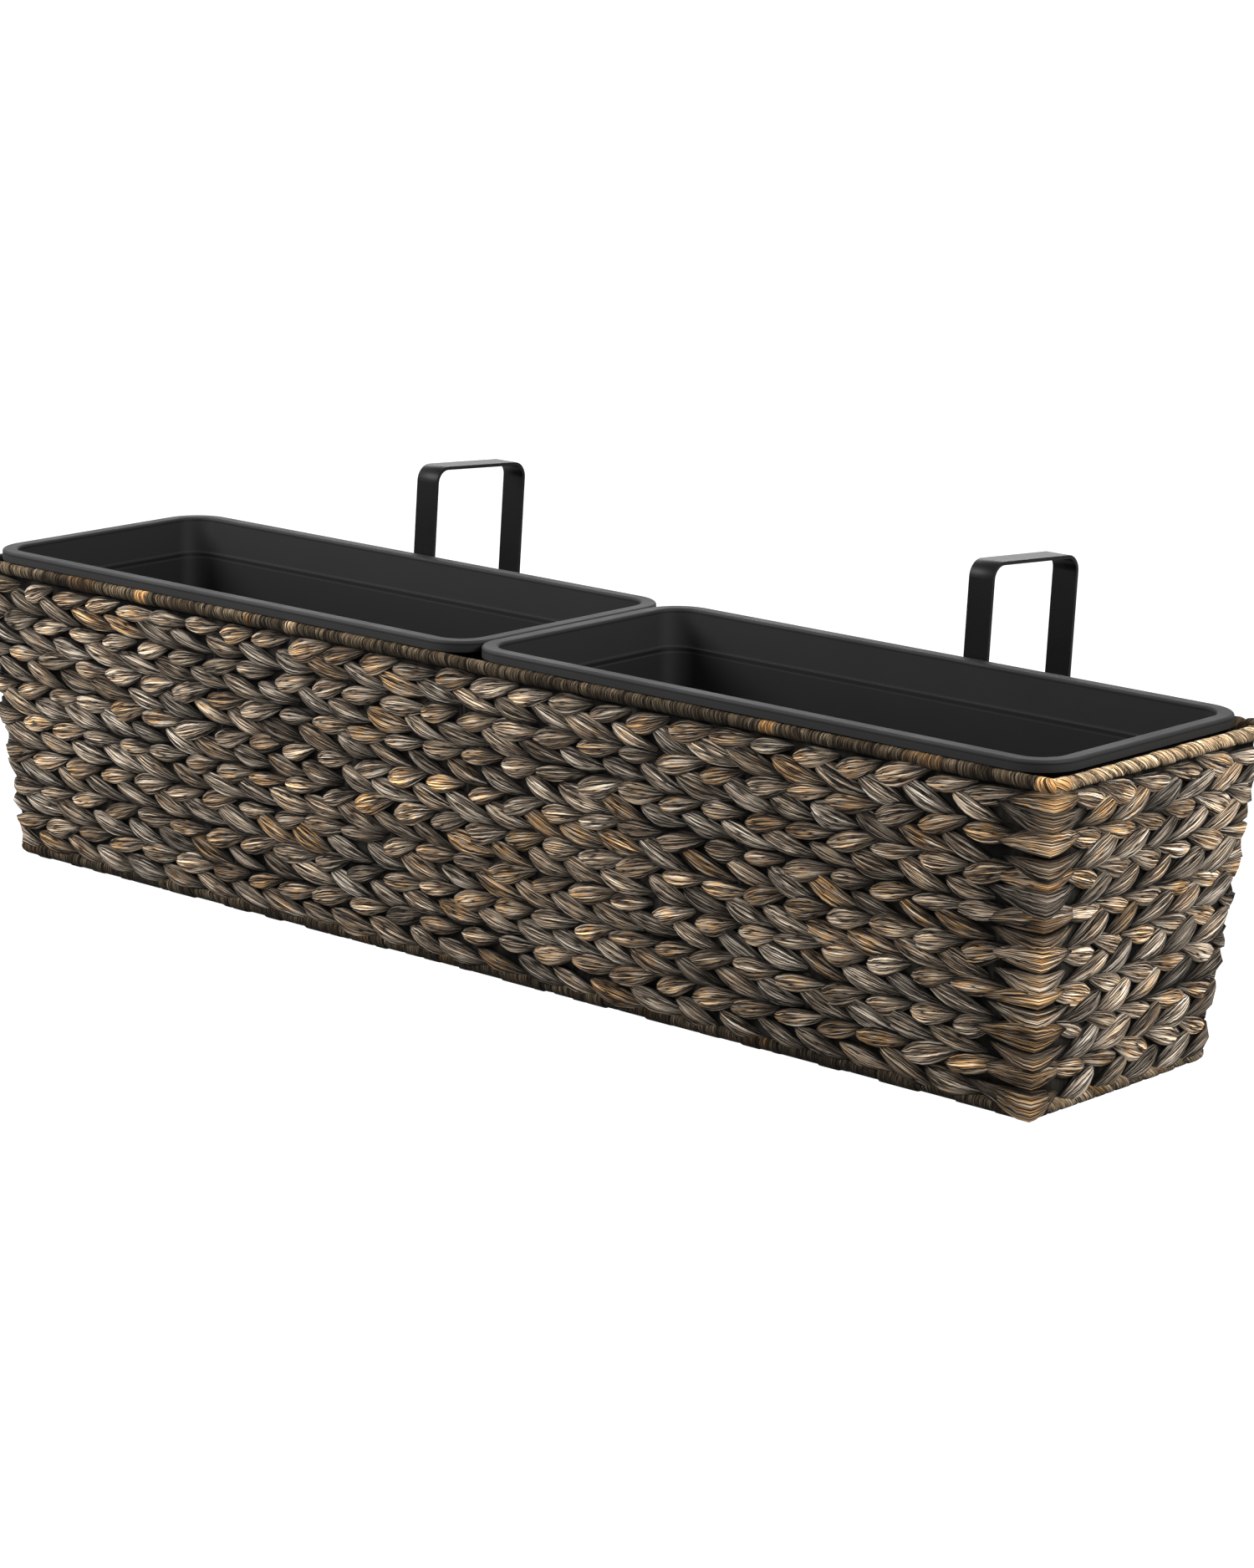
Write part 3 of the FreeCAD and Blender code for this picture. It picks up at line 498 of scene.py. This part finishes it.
# Pieces folded over the near corner, and one at its foot; their length is that of the front arm
FOLD = Lobe(
    length=32, width=15.5, lean=0, height=3.4, tail_dive=-0.8, tip_dive=-0.4, thick=1.7, curl=0
)
FOOT = Lobe(
    length=27, width=18, lean=0, height=4.0, tail_dive=1.8, tip_dive=1.8, thick=2.2, curl=0
)
# Rise of a fold away from the corner, on the front and on the right end
FOLD_SLOPES = {"upper": (-0.12, 0.05), "lower": (0.28, 0.4)}
FOOT_SLOPES = (0.22, 0.2)
FOOT_HEIGHT = 8 * MM

# Rows that run from the near corner along the front (-1) or along the right end (1): middle to
# middle of two lobes, where the rows start, and how much paler they are than the usual tone
PITCHES = {-1: 28.6 * MM, 1: 26 * MM}
STARTS = {-1: 18 * MM, 1: 10 * MM}
FADES = {-1: 1.34, 1: 1.58}
# Where the first lobe of a row lies, in steps from the row's start
FIRST_STEPS = {"upper": 0.5, "lower": 0.9}
# Tone of a lobe (least, most, usual), usual warmth, and share of the lobes that are golden
TONES = {"upper": (0.5, 1.85, 1.05), "lower": (0.25, 1.6, 0.75)}
WARMTHS = {"upper": 0.42, "lower": 0.2}
GOLDEN_SHARE = 0.08

# Power that flattens the round section of a lobe, and one that thins it towards its outline
FLATTEN = 0.62
THIN = 0.7
# Painted shade: the share of the tone left at the edge of a lobe, where it meets the next, and at
# its tail, where it runs under the next lobe, and how fast that shade deepens
EDGE_TONE, EDGE_POWER = 0.02, 3.6
TAIL_TONE, TAIL_POWER = 0.03, 0.9
# Share of an arm over which a fold's line turns round the crease
CREASE_TURN = 0.14
# How far the painted highlight along a fold's crease reaches, how far the fold is browned from its
# crease, and how low it may hang
CREASE_HIGHLIGHT_REACH = 2.2 * MM
BROWN_REACH = 9 * MM
FOLD_LOWEST = 0.4 * MM
# The core between the lobes of both faces: half its thickness, its steps along the way, its tone,
# near black as painted shade in the gaps, and how far it reaches into the bindings above and below
# the wall
CORE_HALF = 0.9 * MM
CORE_STEPS = 240
CORE_SHADE_TONE = 0.03
CORE_TUCK = 3 * MM


def leaf_place(ball):
    """Where a point of a ball lies on a lobe: from tail to tip, across it and through it"""
    x = 2 / math.pi * math.asin(max(-1, min(1, ball.x)))
    ring = math.hypot(ball.y, ball.z)
    if ring < 1e-6:
        return x, 0, 0
    side, top = (math.copysign(abs(part / ring) ** FLATTEN, part) for part in (ball.y, ball.z))
    return x, side, top


def edge_shade(top):
    """Painted shade that deepens towards the edge of a lobe, below its flat top"""
    return EDGE_TONE + (1 - EDGE_TONE) * max(0, top) ** EDGE_POWER


class Plait:
    """A mesh of lobes, each a flattened leaf of stems with its own tone, laid flat before it is
    wrapped. Lobes differ from their kind in size, lean, curl, twist and depth by the ranges given
    here."""

    def __init__(self):
        self.bm = bmesh.new()
        self.fibre = self.bm.verts.layers.float_vector.new("fibre")
        self.tone = self.bm.verts.layers.float.new("tone")
        self.warm = self.bm.verts.layers.float.new("warm")
        made = bmesh.ops.create_uvsphere(self.bm, u_segments=8, v_segments=8, radius=1)
        lying = Matrix.Rotation(math.pi / 2, 3, "Y")
        bmesh.ops.rotate(self.bm, verts=made["verts"], cent=(0, 0, 0), matrix=lying)
        self.pattern = list(self.bm.verts) + list(self.bm.edges) + list(self.bm.faces)
        self.pattern_verts = list(self.bm.verts)

    def fresh_lobe(self):
        """A copy of the pattern: its vertices, with their places from tail to tip, across and
        through"""
        copied = bmesh.ops.duplicate(self.bm, geom=self.pattern)["geom"]
        verts = [item for item in copied if isinstance(item, bmesh.types.BMVert)]
        return [(vert, *leaf_place(vert.co)) for vert in verts]

    # The tone given here holds painted shade and painted highlights as well as the stem's own
    # paleness
    def dye_and_shade(self, vert, place, tone, warm):
        vert[self.fibre], vert[self.tone], vert[self.warm] = place, tone, warm

    def lobe(self, kind, way, height, heading, face, tone, warm):
        """Lays a lobe. heading is the side of its tip along the way, and face is 1 for the outside
        of the wall and -1 for the inside."""
        seed = chance.uniform(0, 400)
        length = kind.length * chance.uniform(0.82, 1.12)
        width = kind.width * chance.uniform(0.76, 1.14)
        lean = kind.lean + math.radians(chance.uniform(-7.5, 7.5))
        rise, run = math.sin(lean), math.cos(lean)
        curl = kind.curl + chance.uniform(-0.7, 0.7) * MM
        twist = chance.uniform(-0.2, 0.2)
        plump = kind.thick * chance.uniform(0.88, 1.1)
        sink = chance.uniform(-0.6, 0.3) * MM
        for vert, x, side, top in self.fresh_lobe():
            outline = kind.outline(x)
            across = side * outline * width / 2
            out = kind.middle(x) + sink + top * outline**THIN * plump + across * twist
            along = way + heading * (x * length / 2 * run - rise * across)
            up = height + rise * x * length / 2 + run * across + curl * (x * x - 0.4)
            vert.co = (along, face * out, up)
            # Painted shade towards the tail, where it runs under the next lobe; warmth fades with
            # it
            tail = 1 - (1 - TAIL_TONE) * max(0, -x) ** TAIL_POWER
            place = (x * length / 2 / MM + seed, side * width / 2 / MM, seed)
            self.dye_and_shade(vert, place, tone * edge_shade(top) * tail, warm * tail * max(0, top))

    def fold(self, kind, height, face, slopes, tone, warm):
        """Lays a lobe over the near corner, with a long arm on the front and a short one on the
        right end, with a painted highlight and a brown tint along its crease"""
        seed = chance.uniform(0, 400)
        width = kind.width * chance.uniform(0.8, 1.15)
        front_arm = kind.length * chance.uniform(0.65, 1.15)
        end_arm = kind.length * chance.uniform(0.5, 0.85)
        front_slope, end_slope = (slope + chance.uniform(-0.12, 0.12) for slope in slopes)
        sink = chance.uniform(-0.9, 0.4) * MM
        browned = chance.choice((0.1, 0.25, 0.45, 0.6))
        for vert, x, side, top in self.fresh_lobe():
            # More of the pattern's rings lie near the crease
            x = math.copysign(abs(x) ** 1.7, x)
            arm, slope = (end_arm, end_slope) if x > 0 else (front_arm, front_slope)
            outline = (1 - abs(x) ** 1.25) ** 0.9
            across = side * outline * width / 2
            out = kind.middle(x) + sink + top * outline**THIN * kind.thick
            away = math.hypot(x, CREASE_TURN) - CREASE_TURN
            up = height + across + slope * away * arm
            vert.co = (x * arm, face * out, max(FOLD_LOWEST, up))
            # Painted highlight along the crease
            crease_highlight = math.exp(-abs(x * arm) / CREASE_HIGHLIGHT_REACH)
            brown = math.exp(-abs(x * arm) / BROWN_REACH)
            place = (x * arm / MM + seed, side * width / 2 / MM, seed)
            shade = edge_shade(top) * (0.85 + 0.65 * crease_highlight)
            self.dye_and_shade(vert, place, tone * shade, min(1, warm + browned * brown))

    def core(self, start, end, low, high):
        """A flat band between the lobes of both faces, so that no light comes through, toned near
        black as painted shade in the gaps between them
        """
        made = bmesh.ops.create_grid(self.bm, x_segments=CORE_STEPS, y_segments=2, size=0.5)
        verts = made["verts"]
        faces = list(dict.fromkeys(face for vert in verts for face in vert.link_faces))
        solid = bmesh.ops.solidify(self.bm, geom=faces, thickness=1.0)["geom"]
        verts += [item for item in solid if isinstance(item, bmesh.types.BMVert)]
        levels = [vert.co.z for vert in verts]
        lowest, highest = min(levels), max(levels)
        for vert in dict.fromkeys(verts):
            x, y, z = vert.co
            along = start + (x + 0.5) * (end - start)
            out = CORE_HALF * (2 * (z - lowest) / (highest - lowest) - 1)
            vert.co = (along, out, low + (y + 0.5) * (high - low))
            self.dye_and_shade(vert, (along / MM, out / MM, 3), CORE_SHADE_TONE, 0)

    def close(self):
        """Takes the pattern lobe away"""
        bmesh.ops.delete(self.bm, geom=self.pattern_verts, context="VERTS")


def stem_tone(row):
    """Tone and warmth of a lobe: the ones on top are paler and browner, and a few are golden"""
    tone = chance.triangular(*TONES[row])
    if chance.random() < GOLDEN_SHARE:
        warm = chance.uniform(0.7, 1)
    else:
        warm = WARMTHS[row] + chance.uniform(-0.2, 0.25)
    return tone, warm


def plait_row(plait, lobes, height, row, face, start, end, heading):
    """Lays lobes from one end of a row to the other, with small differences from lobe to lobe"""
    count = round((end - start) / PITCHES[heading])
    step = (end - start) / count
    for number in range(count):
        place = start + (number + FIRST_STEPS[row]) * step
        way = heading * place + chance.uniform(-1.7, 1.7) * MM
        tone, warm = stem_tone(row)
        up = height + chance.uniform(-1.2, 1.2) * MM
        plait.lobe(lobes[row], way, up, heading, face, tone * FADES[heading], warm)


def plait_course(number):
    """One course of the wall: two rows of lobes on both faces, folded over the near corner"""
    node = f"plait_course_{number}"
    low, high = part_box(node)
    middle = (low.z + high.z) / 2
    tall = high.z - low.z
    course = Course(middle)
    walls = (
        (END_LOBES, course.far_corner, 1),
        (FRONT_LOBES, course.around - course.far_corner, -1),
    )
    plait = Plait()
    for row, side in (("upper", 1), ("lower", -1)):
        height = middle + side * tall / 4
        if number == 1 and row == "lower":
            # The lowest row hangs over the base binding
            height -= 2 * MM
        for face in (1, -1):
            for lobes, end, heading in walls:
                plait_row(plait, lobes, height, row, face, STARTS[heading], end, heading)
            tone, warm = stem_tone(row)
            up = height + (side * 2 + chance.uniform(-2, 2)) * MM
            plait.fold(FOLD, up, face, FOLD_SLOPES[row], tone, warm)
    if number == 1:
        plait.fold(FOOT, FOOT_HEIGHT, 1, FOOT_SLOPES, tone=0.9, warm=0.7)
        low.z -= CORE_TUCK
    if number == COURSES:
        high.z += CORE_TUCK
    plait.close()
    plait.core(0, course.around, low.z, high.z)
    wrap(plait.bm, course)
    bmesh.ops.remove_doubles(plait.bm, verts=plait.bm.verts, dist=1e-6)
    piece(plait.bm, f"plaited_course_{number}", hyacinth, "plait", node)


# Room that a floor plait's rows leave at its two ends, and how flat its lobes are pressed
FLOOR_START, FLOOR_END = 4 * MM, 12 * MM
FLOOR_PRESS = 0.8


def floor_plait(number):
    """One straight plait of the floor"""
    node = f"floor_plait_{number}"
    low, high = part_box(node)
    middle_y, middle_z = (low.y + high.y) / 2, (low.z + high.z) / 2
    wide = high.y - low.y
    plait = Plait()
    for row, across in (("upper", wide / 4), ("lower", -wide / 4)):
        for face in (1, -1):
            start, end = low.x + FLOOR_START, high.x - FLOOR_END
            plait_row(plait, FRONT_LOBES, across, row, face, start, end, 1)
    plait.close()
    plait.core(low.x, high.x, -wide / 2, wide / 2)
    for vert in plait.bm.verts:
        along, out, across = vert.co
        along = max(low.x, min(high.x, along))
        vert.co = (along, middle_y + across, middle_z + out * FLOOR_PRESS)
    piece(plait.bm, f"plaited_floor_{number}", hyacinth, "plait", node)


for number in range(1, COURSES + 1):
    plait_course(number)
for number in range(1, FLOOR_PLAITS + 1):
    floor_plait(number)


# Bindings wound round the ring wires


# Sides of the tube that a binding is made from, and cuts along it
TUBE_SIDES = 12
TUBE_CUTS = 2200
# The bands start before the near corner and end past it by this much, so that slanting ones are
# whole
SPARE = 15 * MM
# How far the groove and the painted shade in it reach from the edge of a band
GROOVE = 0.8 * MM
GROOVE_SHADE = 0.5 * MM
# Share of the bands that are golden
GOLDEN_BANDS = 0.06
# How far the pale ribbons of the right end reach round the near corner
PALE_REACH = 6 * MM


class Knot:
    """A place where a binding is tied off: its way along the binding, half its width, how far it
    swells, its tone and warmth, and how far it may rise above the binding"""

    def __init__(self, way, half, swell, tone, warm, rise=0):
        self.way, self.half, self.swell = way, half * MM, swell * MM
        self.tone, self.warm, self.rise = tone, warm, rise * MM
        # The angle at which it swells most, from straight out towards straight up
        self.swells_at = 1.1 if rise else 0.4


def wound_bands(course, dark, pale, uneven):
    """Bands of turns, each with its own slant, tone and girth, which differs by as much as uneven:
    dark and long on the long walls, pale slanting ribbons on the right end"""
    bands = []
    place = 0
    while place < course.around + 2 * SPARE:
        on_end = course.marks[1] - PALE_REACH < place - SPARE < course.marks[2]
        golden = chance.random() < GOLDEN_BANDS
        wide = chance.uniform(8, 16) if on_end else chance.choice((7, 10, 14, 19, 25))
        band = {
            "start": place,
            "wide": wide * MM,
            "slant": chance.uniform(0.8, 1.4) if on_end else chance.uniform(0, 0.5),
            "girth": chance.uniform(-uneven, uneven) * MM,
            "dip": (chance.uniform(0.35, 0.7) if on_end else chance.uniform(0.05, 0.35)) * MM,
            "tone": pale * chance.uniform(0.7, 1.2) if on_end else dark * chance.uniform(0.4, 1.3),
            "warm": chance.uniform(0.5, 0.8) if golden else chance.uniform(0, 0.12),
        }
        bands.append(band)
        place += band["wide"]
    return bands


def binding(name, node, height, highest, thick, dark, pale, uneven, knots=()):
    """A tube of wound fibre, with knots where the fibre is tied off"""
    course = Course(height)
    bm = bmesh.new()
    fibre = bm.verts.layers.float_vector.new("fibre")
    tone = bm.verts.layers.float.new("tone")
    warm = bm.verts.layers.float.new("warm")
    made = bmesh.ops.create_cone(
        bm, segments=TUBE_SIDES, radius1=1, radius2=1, depth=1, cap_ends=False
    )
    lying = Matrix.Rotation(math.pi / 2, 3, "Y")
    bmesh.ops.rotate(bm, verts=made["verts"], cent=(0, 0, 0), matrix=lying)
    lengthwise = [
        edge for edge in bm.edges if abs(edge.verts[0].co.x - edge.verts[1].co.x) > 0.5
    ]
    bmesh.ops.subdivide_edges(bm, edges=lengthwise, cuts=TUBE_CUTS, use_grid_fill=False)
    bands = wound_bands(course, dark, pale, uneven)
    # The number of the band at each millimetre
    at_mm = []
    for index, band in enumerate(bands):
        while len(at_mm) * MM < band["start"] + band["wide"]:
            at_mm.append(index)
    last = len(at_mm) - 1
    for vert in bm.verts:
        along = (vert.co.x + 0.5) * course.around
        angle = math.atan2(vert.co.z, vert.co.y)
        here = along + SPARE
        slant = bands[at_mm[min(last, int(here / MM))]]["slant"]
        turned = here + slant * thick * math.sin(angle)
        index = at_mm[max(0, min(last, int(turned / MM)))]
        band = bands[index]
        edge = max(0, min(turned - band["start"], band["start"] + band["wide"] - turned))
        girth = thick + band["girth"] - band["dip"] * math.exp(-edge / GROOVE)
        # Painted shade: darker towards the underside, which the light from above misses, and in the
        # grooves between bands
        under = max(0.1, 0.65 + 0.7 * math.sin(angle))
        own_tone = band["tone"] * under * (1 - 0.85 * math.exp(-edge / GROOVE_SHADE))
        own_warm, top = band["warm"], highest
        for knot in knots:
            half_way = course.around / 2
            off = abs((along - knot.way + half_way) % course.around - half_way) / knot.half
            if off < 1:
                swell = math.sqrt(1 - off * off) * max(0, math.cos(angle - knot.swells_at))
                girth += knot.swell * swell
                # A knot keeps the painted shade of the underside, and painted shade deepens at its
                # two ends
                own_tone, own_warm = knot.tone * under * (1 - 0.6 * off**6), knot.warm
                top = highest + knot.rise
        out, up = girth * math.cos(angle), girth * math.sin(angle)
        vert.co = (along, out, max(0, min(top, height + up)))
        # Each band starts at another place of the strands, so that none runs on into the next
        vert[fibre] = (turned / MM + index * 7.3, angle * thick / MM, index * 3.1)
        vert[tone], vert[warm] = own_tone, own_warm
    wrap(bm, course)
    bmesh.ops.remove_doubles(bm, verts=bm.verts, dist=1e-6)
    piece(bm, name, wound_hyacinth, "binding", node)


rim = Course(RIM_Z)
# One on the near corner, three along the front, and three round the back right corner
rim_knots = [
    Knot(0, half=8, swell=1.5, tone=2.2, warm=0.5),
    Knot(rim.front(-0.254), half=5, swell=0.9, tone=1.2, warm=1.0),
    Knot(rim.front(-0.132), half=4, swell=0.5, tone=1.1, warm=0.15),
    Knot(rim.front(0.216), half=5, swell=0.6, tone=0.8, warm=0.9),
    Knot(rim.marks[2] - 3 * MM, half=3.5, swell=1.2, tone=2.4, warm=0),
    Knot(rim.marks[3] - 2 * MM, half=6, swell=3, tone=0.3, warm=0.5, rise=3),
    Knot(rim.marks[3] + 9 * MM, half=5, swell=2.2, tone=0.2, warm=0.2, rise=2),
]
binding(
    "wound_rim_binding",
    "rim_binding",
    height=RIM_Z,
    highest=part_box("rim_binding")[1].z,
    thick=4.0 * MM,
    dark=0.36,
    pale=2.6,
    uneven=0.35,
    knots=rim_knots,
)
binding(
    "wound_base_binding",
    "base_binding",
    height=BASE_Z,
    highest=RIM_Z,
    thick=3.8 * MM,
    dark=0.24,
    pale=1.0,
    uneven=0.55,
)


# CAD pieces that show as they are


def soften_edges(node):
    """Takes the sharpness off the edges of flat steel, as its coat does"""
    weld = node.modifiers.new("weld", "WELD")
    weld.merge_threshold = 0.01 * MM
    edge = node.modifiers.new("edge", "BEVEL")
    edge.width = 0.4 * MM
    edge.segments = 2
    edge.limit_method = "ANGLE"
    edge.angle_limit = math.radians(50)


for name, node in nodes.items():
    if node.hide_render:
        continue
    finish = polypropylene if name.startswith("insert") else powder_coat
    node.data.materials.clear()
    node.data.materials.append(finish)
    if name.startswith(("hook_left", "hook_right", "clamp")):
        soften_edges(node)


# Stage, light and camera


def rays_that_show(tree):
    """1 for rays from the camera, off gloss and through glass, which see the white background, and
    0 for those that light the planter"""
    paths = add(tree, "ShaderNodeLightPath", {})
    rays = paths["Is Camera Ray"]
    for kind in ("Is Glossy Ray", "Is Transmission Ray"):
        rays = add(tree, "ShaderNodeMath", {0: rays, 1: paths[kind]}, operation="MAXIMUM")["Value"]
    return rays


WHITE = (1, 1, 1, 1)
# Strength and share of the floor's own white, which together come to about 1; the rest of it is
# paper, which keeps the shadow
FLOOR_GLOW, FLOOR_SHARE = 1.26, 0.8
# Half the size of the floor in metres, and how far it lies below the planter's foot
FLOOR_HALF = 40
FLOOR_DROP = 0.5 * MM
# Soft light from all round the room
ROOM_LIGHT = 0.14


def pale_floor():
    """White paper that keeps a soft shadow and shows white to the camera and in reflections"""
    made, tree = material("white_paper")
    seen = rays_that_show(tree)
    share = add(tree, "ShaderNodeMath", {0: seen, 1: FLOOR_SHARE}, operation="MULTIPLY")["Value"]
    paper = add(tree, "ShaderNodeBsdfDiffuse", {"Color": linear("#F2F2F0")})["BSDF"]
    glow = add(tree, "ShaderNodeEmission", {"Color": WHITE, "Strength": FLOOR_GLOW})["Emission"]
    mixed = add(tree, "ShaderNodeMixShader", {0: share, 1: paper, 2: glow})["Shader"]
    surface(tree, mixed)
    return made


bm = bmesh.new()
bmesh.ops.create_grid(bm, x_segments=1, y_segments=1, size=FLOOR_HALF)
bmesh.ops.translate(bm, verts=bm.verts, vec=(0, 0, -FLOOR_DROP))
floor_mesh = bpy.data.meshes.new("floor")
bm.to_mesh(floor_mesh)
bm.free()
floor_mesh.materials.append(pale_floor())
floor = bpy.data.objects.new("floor", floor_mesh)
bpy.context.scene.collection.objects.link(floor)

world = bpy.data.worlds.new("studio")
bpy.context.scene.world = world
world.use_nodes = True
room = world.node_tree
room.nodes.clear()
strength = add(
    room,
    "ShaderNodeMapRange",
    {"Value": rays_that_show(room), "To Min": ROOM_LIGHT, "To Max": 1.0},
)["Result"]
background = add(room, "ShaderNodeBackground", {"Color": WHITE, "Strength": strength})["Background"]
add(room, "ShaderNodeOutputWorld", {"Surface": background})


middle = Vector((0, MIDDLE_Y, 0.1))


def lamp(name, place, size, watts):
    """A soft box that faces the middle of the basket"""
    light = bpy.data.lights.new(name, "AREA")
    light.shape = "RECTANGLE"
    light.size, light.size_y = size
    light.energy = watts
    made = bpy.data.objects.new(name, light)
    made.location = place
    made.rotation_euler = (middle - Vector(place)).to_track_quat("-Z", "Y").to_euler()
    bpy.context.scene.collection.objects.link(made)


lamp("key", place=(2.3, -0.12, 1.5), size=(0.7, 0.7), watts=82)
lamp("back", place=(-1.4, 1.7, 1.1), size=(2.0, 0.7), watts=22)
lamp("front", place=(-0.95, -0.85, 0.9), size=(0.6, 0.6), watts=27)

# The camera looks from the right of the front and from a little above. It stands this far to its
# own right of the middle of the basket, below it and away from it, in millimetres.
AZIMUTH, ELEVATION, ROLL = (math.radians(angle) for angle in (42.4, 13.55, 0.6))
RIGHTWARD, DOWNWARD, AWAY = 31.36, 6.28, 2595.06
# Its focal length in pixels of the picture, whose height is the longer side on the film
FOCUS_PIXELS = 5642
PICTURE_HEIGHT = 1876
FILM = 36
back = Vector(
    (
        math.sin(AZIMUTH) * math.cos(ELEVATION),
        -math.cos(AZIMUTH) * math.cos(ELEVATION),
        math.sin(ELEVATION),
    )
)
level = (-back).cross(Vector((0, 0, 1))).normalized()
upright = level.cross(-back)
right = level * math.cos(ROLL) + upright * math.sin(ROLL)
up = upright * math.cos(ROLL) - level * math.sin(ROLL)
camera = bpy.data.objects.new("camera", bpy.data.cameras.new("camera"))
camera.data.lens = FOCUS_PIXELS * FILM / PICTURE_HEIGHT
turn = Matrix((right, up, back)).transposed().to_4x4()
spot = middle + right * RIGHTWARD * MM - up * DOWNWARD * MM + back * AWAY * MM
camera.matrix_world = Matrix.Translation(spot) @ turn
bpy.context.scene.collection.objects.link(camera)
bpy.context.scene.camera = camera
bpy.context.scene.view_settings.view_transform = "Standard"
